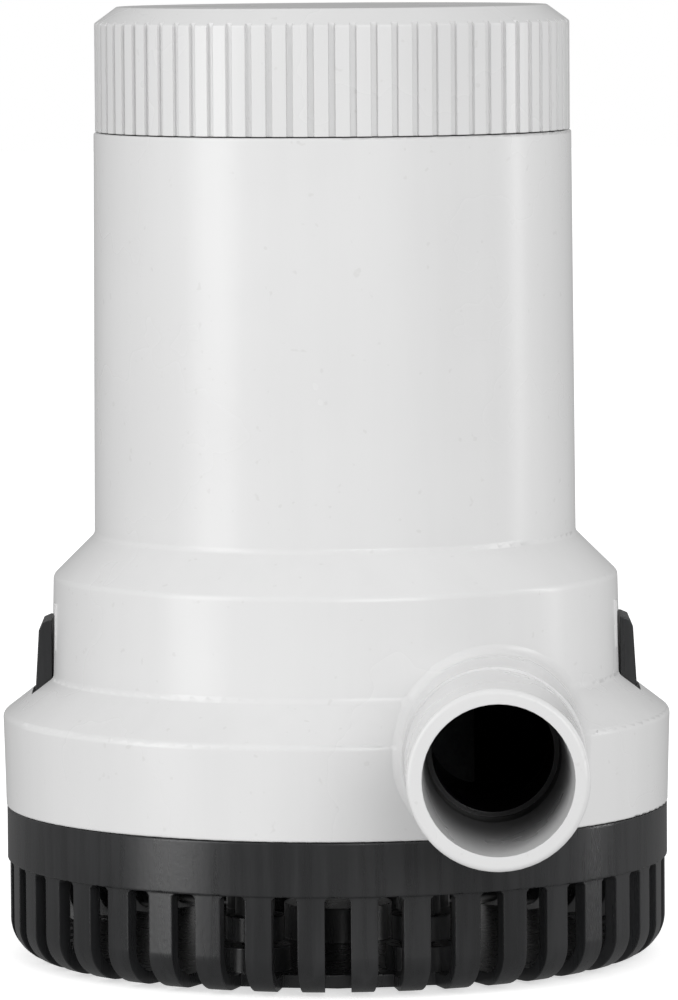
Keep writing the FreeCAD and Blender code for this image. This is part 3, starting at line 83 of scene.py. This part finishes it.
class Signal:
    # a shader value; arithmetic on it adds the Math nodes
    def __init__(self, finish, socket):
        self.finish = finish
        self.socket = socket

    def math(self, operation, *others):
        values = {0: self}
        for slot, other in enumerate(others, start=1):
            values[slot] = other
        return self.finish.node("ShaderNodeMath", {"operation": operation}, values)

    def flipped(self, operation, other):
        return self.finish.node("ShaderNodeMath", {"operation": operation}, {0: other, 1: self})

    def __add__(self, other):
        return self.math("ADD", other)

    def __radd__(self, other):
        return self.math("ADD", other)

    def __sub__(self, other):
        return self.math("SUBTRACT", other)

    def __rsub__(self, other):
        return self.flipped("SUBTRACT", other)

    def __mul__(self, other):
        return self.math("MULTIPLY", other)

    def __rmul__(self, other):
        return self.math("MULTIPLY", other)

    def __truediv__(self, other):
        return self.math("DIVIDE", other)

    def __pow__(self, other):
        return self.math("POWER", other)


class Finish:
    # one material with a Principled shader and the nodes that feed it
    def __init__(self, name):
        self.material = bpy.data.materials.new(name)
        self.material.use_nodes = True
        self.tree = self.material.node_tree
        self.tree.nodes.clear()
        self.output = self.tree.nodes.new("ShaderNodeOutputMaterial")
        self.shader = self.tree.nodes.new("ShaderNodeBsdfPrincipled")
        self.tree.links.new(self.shader.outputs[0], self.output.inputs[0])
        self.place = self.node("ShaderNodeTexCoord", {}, {}, "Object")

    def node(self, kind, settings, values, output=0):
        made = self.tree.nodes.new(kind)
        for key, setting in settings.items():
            if key == "stops":
                ramp = made.color_ramp
                while len(ramp.elements) < len(setting):
                    ramp.elements.new(0.5)
                for element, (position, colour) in zip(ramp.elements, setting):
                    element.position = position
                    element.color = (*colour, 1.0)
            else:
                setattr(made, key, setting)
        for key, value in values.items():
            self.feed(made.inputs[key], value)
        return Signal(self, made.outputs[output])

    def feed(self, socket, value):
        if isinstance(value, Signal):
            self.tree.links.new(value.socket, socket)
        else:
            socket.default_value = value

    def set(self, **values):
        # constant numbers go on the shader's own sockets, varying ones are linked
        for key, value in values.items():
            self.feed(self.shader.inputs[key.replace("_", " ")], value)

    def stretched(self, scale):
        return self.node("ShaderNodeVectorMath", {"operation": "MULTIPLY"},
                         {0: self.place, 1: scale})

    def noise(self, scale, detail=3.0, rough=0.5, stretch=None):
        where = self.stretched(stretch) if stretch else self.place
        return self.node("ShaderNodeTexNoise", {}, {
            "Vector": where, "Scale": scale, "Detail": detail, "Roughness": rough})

    def axes(self):
        return [self.node("ShaderNodeSeparateXYZ", {}, {0: self.place}, index)
                for index in range(3)]

    def ramp(self, factor, low, high):
        return self.node("ShaderNodeMapRange", {"interpolation_type": "SMOOTHSTEP"}, {
            "Value": factor, "From Min": low, "From Max": high})

    def blend(self, factor, first, second):
        return self.node("ShaderNodeMix", {"data_type": "RGBA"}, {
            0: factor, 6: (*first, 1.0) if isinstance(first, tuple) else first,
            7: (*second, 1.0) if isinstance(second, tuple) else second}, 2)

    def bump(self, height, distance, strength=1.0, edge=0.0):
        values = {"Strength": strength, "Distance": distance, "Height": height}
        if edge:
            values["Normal"] = self.node("ShaderNodeBevel", {"samples": 6}, {"Radius": edge})
        return self.node("ShaderNodeBump", {}, values)


whitePlastic = {
    "light": (0.800, 0.800, 0.800),      # fresh moulded white
    "shade": (0.770, 0.770, 0.770),      # where the melt cooled slower
    "roughness": 0.27,
    "roughnessSwing": 0.10,
    "peel": 0.00001,                    # depth of the fine skin texture, metres
    "edge": 0.00025,                    # softened edges, metres
}


voluteInside = {
    "throatShade": (0.012, 0.012, 0.013),      # near-black painted shade over the deep throat and volute chamber walls
    "axis": (0.025, 0.0391),            # outlet axis, x and z
    "throatRadius": 0.0110,
    "throatStart": -0.0545,
    "throatEnd": 0.002,         # just past the shaft's plane, well short of the back wall
    "boreRadius": 0.0124, "boreEnd": -0.034,
    # painted shade: grey ramped in down the outlet bore, darker with depth
    "boreShade": (0.20, 0.20, 0.205), "boreShadeStart": -0.0870, "boreShadeEnd": -0.0600,
    "floor": 0.0271, "ceiling": 0.0518,
    "cutwater": math.radians(-53.0),
    "spiralStart": 0.0255, "spiralEnd": 0.0353, "skin": 0.0009,
}


def insideVolute(finish, setup):
    # two masks of painted shade: the walls of the throat and the spiral chamber, painted
    # near-black, and a ramp of painted grey shade down the tapered bore
    x, y, z = finish.axes()
    across, up = x - setup["axis"][0], z - setup["axis"][1]
    fromAxis = (across * across + up * up) ** 0.5
    throat = fromAxis.math("LESS_THAN", setup["throatRadius"]) \
        * y.math("GREATER_THAN", setup["throatStart"]) * y.math("LESS_THAN", setup["throatEnd"])
    # clockwise share of the turn since the cutwater gives the spiral's radius
    angle = y.math("ARCTAN2", x)
    swept = (setup["cutwater"] - angle).math("FLOORED_MODULO", 2 * math.pi)
    share = (swept / (2 * math.pi + setup["cutwater"])).math("MINIMUM", 1.0)
    spiral = share * (setup["spiralEnd"] - setup["spiralStart"]) \
        + (setup["spiralStart"] + setup["skin"])
    radius = (x * x + y * y) ** 0.5
    chamber = radius.math("LESS_THAN", spiral) * z.math("GREATER_THAN", setup["floor"]) \
        * z.math("LESS_THAN", setup["ceiling"])
    # painted shade ramped in down the tapered bore
    bore = fromAxis.math("LESS_THAN", setup["boreRadius"]) * y.math("LESS_THAN", setup["boreEnd"]) \
        * finish.ramp(y, setup["boreShadeStart"], setup["boreShadeEnd"])
    return throat.math("MAXIMUM", chamber), bore


def makeWhitePlastic(name, setup, rings=False, volute=None):
    finish = Finish(name)
    cloud = finish.noise(22.0, 4.0)
    flow = finish.noise(1.0, 3.0, 0.6, stretch=(160.0, 160.0, 9.0))  # faint streaks along the draw
    skin = finish.noise(1400.0, 2.0)
    wide = finish.noise(160.0, 2.0)
    dust = finish.ramp(finish.noise(620.0, 1.0), 0.71, 0.79)             # a few fine specks
    tone = finish.ramp(cloud * 0.7 + flow * 0.3, 0.35, 0.65)
    colour = finish.blend(tone, setup["light"], setup["shade"])
    colour = finish.blend(dust * 0.18, colour, (0.52, 0.51, 0.49))
    if volute:
        black, boreShade = insideVolute(finish, volute)
        colour = finish.blend(boreShade, colour, volute["boreShade"])  # painted shade: the bore greys inwards
        # painted shade: the throat and chamber walls are coloured near-black
        colour = finish.blend(black, colour, volute["throatShade"])
    height = skin * 0.6 + wide * 1.6 + flow * 0.8
    if rings:
        x, y, z = finish.axes()
        radius = (x * x + y * y) ** 0.5
        turned = (radius * 9000.0).math("SINE") * finish.ramp(z, 0.1569, 0.1574)
        gate = 1.0 - finish.ramp(radius, 0.0016, 0.0022)  # trimmed moulding gate at the centre
        height = height + turned * 0.35 + gate * finish.ramp(z, 0.1569, 0.1574) * 9.0
    finish.set(Base_Color=colour,
               Roughness=setup["roughness"] + (cloud - 0.5) * setup["roughnessSwing"],
               Normal=finish.bump(height, setup["peel"], edge=setup["edge"]),
               IOR=1.5, Specular_IOR_Level=0.5)
    return finish.material


blackPlastic = {
    "deep": (0.016, 0.0165, 0.0175),
    "worn": (0.028, 0.0285, 0.0300),
    "roughness": 0.28,
    "roughnessSwing": 0.12,
    "grain": 0.00002,
    "edge": 0.00035,
}


def makeBlackPlastic(name, setup):
    finish = Finish(name)
    cloud = finish.noise(30.0, 4.0)
    streak = finish.noise(1.0, 4.0, 0.65, stretch=(420.0, 420.0, 26.0))  # drag marks up the wall
    grain = finish.noise(1100.0, 3.0)
    tone = finish.ramp(cloud * 0.45 + streak * 0.55, 0.38, 0.66)
    colour = finish.blend(tone, setup["deep"], setup["worn"])
    finish.set(Base_Color=colour,
               Roughness=setup["roughness"] + (streak - 0.5) * setup["roughnessSwing"],
               Normal=finish.bump(grain * 0.7 + streak * 0.9, setup["grain"], edge=setup["edge"]),
               IOR=1.53, Specular_IOR_Level=0.7)
    return finish.material


metals = {
    "groundSteel": {"low": (0.50, 0.50, 0.51), "high": (0.68, 0.68, 0.69), "roughness": 0.22,
                    "stretch": (90.0, 90.0, 2600.0), "depth": 0.000004},
    "zincPlate": {"low": (0.42, 0.44, 0.46), "high": (0.62, 0.64, 0.66), "roughness": 0.34,
                  "stretch": (260.0, 260.0, 900.0), "depth": 0.000006},
    "laminations": {"low": (0.16, 0.16, 0.17), "high": (0.40, 0.40, 0.41), "roughness": 0.42,
                    "stretch": (40.0, 40.0, 2400.0), "depth": 0.00005},
    "sinteredBronze": {"low": (0.36, 0.22, 0.10), "high": (0.58, 0.40, 0.21), "roughness": 0.45,
                       "stretch": (1300.0, 1300.0, 1300.0), "depth": 0.00002},
    "brightBrass": {"low": (0.55, 0.40, 0.16), "high": (0.76, 0.60, 0.30), "roughness": 0.26,
                    "stretch": (900.0, 120.0, 120.0), "depth": 0.000005},
    "enamelWire": {"low": (0.40, 0.13, 0.05), "high": (0.66, 0.27, 0.12), "roughness": 0.24,
                   "stretch": (700.0, 700.0, 700.0), "depth": 0.000008},
    "copperBars": {"low": (0.52, 0.22, 0.10), "high": (0.82, 0.45, 0.26), "roughness": 0.28,
                   "stretch": (60.0, 60.0, 2200.0), "depth": 0.000006},
}


def makeMetal(name, setup):
    finish = Finish(name)
    lines = finish.noise(1.0, 3.0, 0.55, stretch=setup["stretch"])
    cloud = finish.noise(60.0, 3.0)
    tone = finish.ramp(lines * 0.6 + cloud * 0.4, 0.35, 0.65)
    finish.set(Base_Color=finish.blend(tone, setup["low"], setup["high"]),
               Metallic=1.0,
               Roughness=setup["roughness"] + (cloud - 0.5) * 0.18,
               Normal=finish.bump(lines, setup["depth"], edge=0.0002))
    return finish.material


softParts = {
    "blackRubber": {"low": (0.012, 0.012, 0.013), "high": (0.035, 0.035, 0.037), "roughness": 0.62},
    "gasketRubber": {"low": (0.020, 0.020, 0.021), "high": (0.048, 0.047, 0.046),
                     "roughness": 0.74},
    "ferrite": {"low": (0.040, 0.040, 0.043), "high": (0.085, 0.085, 0.088), "roughness": 0.66},
    "carbonBlock": {"low": (0.022, 0.022, 0.023), "high": (0.060, 0.060, 0.062), "roughness": 0.50},
    "impellerPlastic": {"low": (0.070, 0.072, 0.076), "high": (0.125, 0.127, 0.131),
                        "roughness": 0.48},
    "plateMoulding": {"low": (0.080, 0.080, 0.082), "high": (0.130, 0.130, 0.132),
                      "roughness": 0.46},
    "blueDip": {"low": (0.030, 0.110, 0.330), "high": (0.060, 0.180, 0.450), "roughness": 0.30},
    "brownWire": {"low": (0.090, 0.035, 0.015), "high": (0.150, 0.062, 0.028), "roughness": 0.40},
    "blackWire": {"low": (0.012, 0.012, 0.013), "high": (0.026, 0.026, 0.028), "roughness": 0.40},
}


def makeSoft(name, setup):
    finish = Finish(name)
    cloud = finish.noise(90.0, 4.0)
    grain = finish.noise(1500.0, 3.0)
    tone = finish.ramp(cloud * 0.6 + grain * 0.4, 0.34, 0.66)
    finish.set(Base_Color=finish.blend(tone, setup["low"], setup["high"]),
               Roughness=setup["roughness"] + (cloud - 0.5) * 0.20,
               Normal=finish.bump(grain, 0.00002, edge=0.0002))
    return finish.material


materials = {
    "white": makeWhitePlastic("whiteShell", whitePlastic, volute=voluteInside),
    "whiteNut": makeWhitePlastic("whiteNut", whitePlastic),
    "whiteCap": makeWhitePlastic("whiteCap", whitePlastic, rings=True),
    "black": makeBlackPlastic("charcoalMoulding", blackPlastic),
}
for name, setup in metals.items():
    materials[name] = makeMetal(name, setup)
for name, setup in softParts.items():
    materials[name] = makeSoft(name, setup)
print("made", len(materials), "finishes")

slotFinish = {
    "white_housing": "white", "white_cap": "whiteCap", "white_nut": "whiteNut",
    "black_strainer": "black", "black_tab": "black", "black_cover": "black",
    "seal_rubber": "blackRubber", "gasket_rubber": "gasketRubber", "gland_rubber": "blackRubber",
    "screw_steel": "groundSteel", "shaft_steel": "groundSteel", "spring_steel": "groundSteel",
    "plate_steel": "zincPlate", "can_steel": "zincPlate", "lamination_steel": "laminations",
    "bronze": "sinteredBronze", "brass": "brightBrass", "copper_bar": "copperBars",
    "copper": "enamelWire", "ferrite": "ferrite", "carbon": "carbonBlock",
    "impeller_plastic": "impellerPlastic", "plate_plastic": "plateMoulding",
    "suppressor": "blueDip", "lead_brown": "brownWire", "lead_black": "blackWire",
}
for entry in frame["record"]["subparts"]:
    node = frame["nodes"][entry["node"]]
    finish = materials[slotFinish[entry["material_slot"]]]
    for place in node.material_slots:
        place.material = finish
print("finished the carried-over parts")


def gridFaces(rows, columns, wrapRows, wrapColumns, start=0):
    # quads over a grid of points, as one array
    lastRow = rows if wrapRows else rows - 1
    lastColumn = columns if wrapColumns else columns - 1
    row, column = np.meshgrid(np.arange(lastRow), np.arange(lastColumn), indexing="ij")
    nextRow, nextColumn = (row + 1) % rows, (column + 1) % columns
    quads = np.stack([row * columns + column, row * columns + nextColumn,
                      nextRow * columns + nextColumn, nextRow * columns + column], axis=-1)
    return quads.reshape(-1, 4) + start


def makeSurface(name, grids, finish, body, replaced=()):
    # grids: (points of shape rows x columns x 3, wrapRows, wrapColumns)
    points, faces, start = [], [], 0
    for grid, wrapRows, wrapColumns in grids:
        rows, columns = grid.shape[:2]
        faces.append(gridFaces(rows, columns, wrapRows, wrapColumns, start))
        points.append(grid.reshape(-1, 3))
        start += rows * columns
    mesh = bpy.data.meshes.new(name)
    mesh.from_pydata(np.concatenate(points).tolist(), [], np.concatenate(faces).tolist())
    shape = bmesh.new()
    shape.from_mesh(mesh)
    bmesh.ops.remove_doubles(shape, verts=shape.verts, dist=1e-7)      # closes the poles
    bmesh.ops.recalc_face_normals(shape, faces=shape.faces)
    shape.to_mesh(mesh)
    shape.free()
    mesh.polygons.foreach_set("use_smooth", np.ones(len(mesh.polygons), bool))
    mesh.materials.append(finish)
    piece = bpy.data.objects.new(name, mesh)
    bpy.context.scene.collection.objects.link(piece)
    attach(piece, body)
    if replaced:
        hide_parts(*replaced)
    return piece


outletFillet = {
    "axis": (0.025, 0.0391),            # outlet axis, x and z
    "tubeRadius": 0.01475,
    "width": 0.0026,
    "profileZ": (0.0253, 0.0406, 0.0469, 0.0635),
    "profileRadius": (0.0551, 0.0555, 0.0473, 0.0469),
    "start": -63.0, "stop": 243.0,      # degrees round the tube, from the +X side
}


def outletFilletGrid(setup):
    # angle round the tube and share across the fillet: a quadratic curve from the tube to the
    # housing whose handle is the corner between them, closed behind through the walls
    axisX, axisZ = setup["axis"]
    angle = np.radians(np.linspace(setup["start"], setup["stop"], 181))[:, None]
    floor = setup["profileZ"][0] + 0.00015
    downward = np.maximum(-np.sin(angle), 1e-6)
    room = np.where(np.sin(angle) < 0, (axisZ - floor) / downward - setup["tubeRadius"], 1.0)
    fade = np.clip(np.minimum(angle - angle[0], angle[-1] - angle) / 0.12, 0, 1)
    width = np.minimum(setup["width"], room) * np.sqrt(fade) + 1e-7

    def onHousing(reach):
        x = axisX + reach * np.cos(angle)
        z = axisZ + reach * np.sin(angle)
        radius = np.interp(z, setup["profileZ"], setup["profileRadius"])
        return x, -np.sqrt(radius ** 2 - x ** 2), z

    tube = setup["tubeRadius"]
    cornerX, cornerY, cornerZ = onHousing(tube)
    farX, farY, farZ = onHousing(tube + width)
    share = np.linspace(0, 1, 13)[None, :]
    keepTube, keepCorner, keepFar = (1 - share) ** 2, 2 * share * (1 - share), share ** 2
    x = keepTube * cornerX + keepCorner * cornerX + keepFar * farX
    y = keepTube * (cornerY - width) + keepCorner * cornerY + keepFar * (farY + 0.00030)
    z = keepTube * cornerZ + keepCorner * cornerZ + keepFar * farZ
    front = np.stack([x, y, z], axis=-1)
    inset = tube - 0.0003
    behindX = axisX + inset * np.cos(angle) + 0 * share[:, :2]
    behindZ = axisZ + inset * np.sin(angle) + 0 * share[:, :2]
    behindY = np.concatenate([farY + 0.0012, cornerY - width], axis=1)
    behind = np.stack([behindX, behindY, behindZ], axis=-1)
    return np.concatenate([front, behind], axis=1)


fillet = outletFilletGrid(outletFillet)
makeSurface("outletFillet", [(fillet, False, True)], materials["white"], "pump")
print("blended the outlet's root")


armatureCoils = {
    "innerRadius": 0.0103, "outerRadius": 0.0226,
    "ends": ((0.0690, 0.0740), (0.1060, 0.1110)),      # low and high of the two end turns
    "strands": 84, "lay": 7.0, "strandDepth": 0.00028,
    "slots": 12, "slotHalfWidth": 0.00125, "slotInner": 0.0147, "slotOuter": 0.0227,
}


def endTurnGrid(setup, low, high):
    # angle round the shaft and angle round the section: a flattened ring whose surface is
    # pushed in between the strands, which run slantwise over it
    around = np.linspace(0, 2 * np.pi, 336, endpoint=False)[:, None]
    section = np.linspace(0, 2 * np.pi, 40, endpoint=False)[None, :]
    strands = np.abs(np.sin(0.5 * (setup["strands"] * around + setup["lay"] * section))) ** 0.6
    dip = setup["strandDepth"] * (1 - strands)
    middle = 0.5 * (setup["innerRadius"] + setup["outerRadius"])
    halfWide = 0.5 * (setup["outerRadius"] - setup["innerRadius"]) - dip
    halfTall = 0.5 * (high - low) - dip
    bundle = 1 - 0.05 * (1 - np.cos(setup["slots"] * around))
    c, s = np.cos(section), np.sin(section)
    radius = middle + halfWide * np.sign(c) * np.abs(c) ** 0.75 * bundle
    z = 0.5 * (low + high) + halfTall * np.sign(s) * np.abs(s) ** 0.75 * bundle
    return np.stack([radius * np.cos(around), radius * np.sin(around), z], axis=-1)


def slotSideGrid(setup, number):
    # height and angle round a flat bundle of wires that fills one slot
    height = np.linspace(setup["ends"][0][0] + 0.0015, setup["ends"][1][1] - 0.0015, 9)[:, None]
    section = np.linspace(0, 2 * np.pi, 48, endpoint=False)[None, :]
    c, s = np.cos(section), np.sin(section)
    dip = 0.00012 * (1 - np.abs(np.sin(6 * section)))
    radial = 0.5 * (setup["slotInner"] + setup["slotOuter"]) \
        + (0.5 * (setup["slotOuter"] - setup["slotInner"]) - dip) * np.sign(c) * np.abs(c) ** 0.4
    side = (setup["slotHalfWidth"] - dip) * np.sign(s) * np.abs(s) ** 0.4
    taper = np.where((height == height[0]) | (height == height[-1]), 1e-6, 1.0)
    centre = 0.5 * (setup["slotInner"] + setup["slotOuter"])
    radial, side = centre + (radial - centre) * taper, side * taper
    turn = 2 * np.pi * number / setup["slots"]
    return np.stack([radial * np.cos(turn) - side * np.sin(turn),
                     radial * np.sin(turn) + side * np.cos(turn), height + 0 * section], axis=-1)


coilGrids = [(endTurnGrid(armatureCoils, low, high), True, True)
             for low, high in armatureCoils["ends"]]
coilGrids += [(slotSideGrid(armatureCoils, number), False, True)
              for number in range(armatureCoils["slots"])]
makeSurface("armatureCoils", coilGrids, materials["enamelWire"], "rotor",
            ["armature_windings"])
print("wound the armature")


studio = {
    "floorTone": (0.93, 0.93, 0.93),
    "floorGlow": 0.60,
    "floorHalf": 4.0, "floorHeight": -0.0002,       # a hair below the footing
    "worldLight": 0.60,
    "worldSheen": 0.20,                 # what shiny surfaces mirror between the lights
    "lights": [
        # name, azimuth from the camera (right is +), height, distance, width, tall, watts
        ("leftBox", -58.0, 0.45, 1.25, 0.55, 1.3, 6.4),
        ("rightStrip", 97.5, 0.35, 1.1, 0.07, 0.9, 1.9),
        ("frontFill", 20.0, 0.75, 1.9, 1.1, 1.1, 12.0),
    ],
}


def makeStudio(setup):
    world = bpy.data.worlds.new("studioWorld")
    world.use_nodes = True
    bpy.context.scene.world = world
    nodes, links = world.node_tree.nodes, world.node_tree.links
    nodes.clear()
    seen = nodes.new("ShaderNodeBackground")
    seen.inputs[0].default_value = (1, 1, 1, 1)
    seen.inputs[1].default_value = 1.0
    lit = nodes.new("ShaderNodeBackground")
    lit.inputs[0].default_value = (1, 1, 1, 1)
    lit.inputs[1].default_value = setup["worldLight"]
    path = nodes.new("ShaderNodeLightPath")
    mix = nodes.new("ShaderNodeMixShader")
    out = nodes.new("ShaderNodeOutputWorld")
    mirrored = nodes.new("ShaderNodeBackground")
    mirrored.inputs[0].default_value = (1, 1, 1, 1)
    mirrored.inputs[1].default_value = setup["worldSheen"]
    gloss = nodes.new("ShaderNodeMixShader")
    links.new(path.outputs["Is Glossy Ray"], gloss.inputs[0])
    links.new(lit.outputs[0], gloss.inputs[1])
    links.new(mirrored.outputs[0], gloss.inputs[2])
    links.new(path.outputs["Is Camera Ray"], mix.inputs[0])
    links.new(gloss.outputs[0], mix.inputs[1])
    links.new(seen.outputs[0], mix.inputs[2])
    links.new(mix.outputs[0], out.inputs[0])
    for name, azimuth, height, distance, wide, tall, watts in setup["lights"]:
        data = bpy.data.lights.new(name, "AREA")
        data.shape = "RECTANGLE"
        data.size = wide
        data.size_y = tall
        data.energy = watts
        light = bpy.data.objects.new(name, data)
        bpy.context.scene.collection.objects.link(light)
        turn = math.radians(azimuth)
        place = np.array((math.sin(turn) * distance, -math.cos(turn) * distance, height))
        back = place - np.array((0, 0, 0.08))
        back /= np.linalg.norm(back)
        right = np.cross((0, 0, 1), back)
        right /= np.linalg.norm(right)
        up = np.cross(back, right)
        matrix = np.eye(4)
        matrix[:3, 0], matrix[:3, 1], matrix[:3, 2], matrix[:3, 3] = right, up, back, place
        light.matrix_world = Matrix(matrix.tolist())
    floorMesh = bpy.data.meshes.new("paleFloor")
    half, low = setup["floorHalf"], setup["floorHeight"]
    corners = [(-half, -half, low), (half, -half, low), (half, half, low), (-half, half, low)]
    floorMesh.from_pydata(corners, [], [(0, 1, 2, 3)])
    floor = bpy.data.objects.new("paleFloor", floorMesh)
    bpy.context.scene.collection.objects.link(floor)
    finish = Finish("palePaper")
    tone = finish.noise(3.0, 2.0)
    shade = tuple(c * 0.99 for c in setup["floorTone"])
    finish.set(Base_Color=finish.blend(tone, setup["floorTone"], shade),
               Roughness=0.9, Emission_Color=(1, 1, 1, 1), Emission_Strength=setup["floorGlow"])
    floorMesh.materials.append(finish.material)
    floor.visible_diffuse = False       # its glow reaches the eye but not the pump
    floor.visible_glossy = False
    bpy.context.scene.view_settings.view_transform = "Standard"
    bpy.context.scene.view_settings.look = "None"


makeStudio(studio)
print("set the studio")
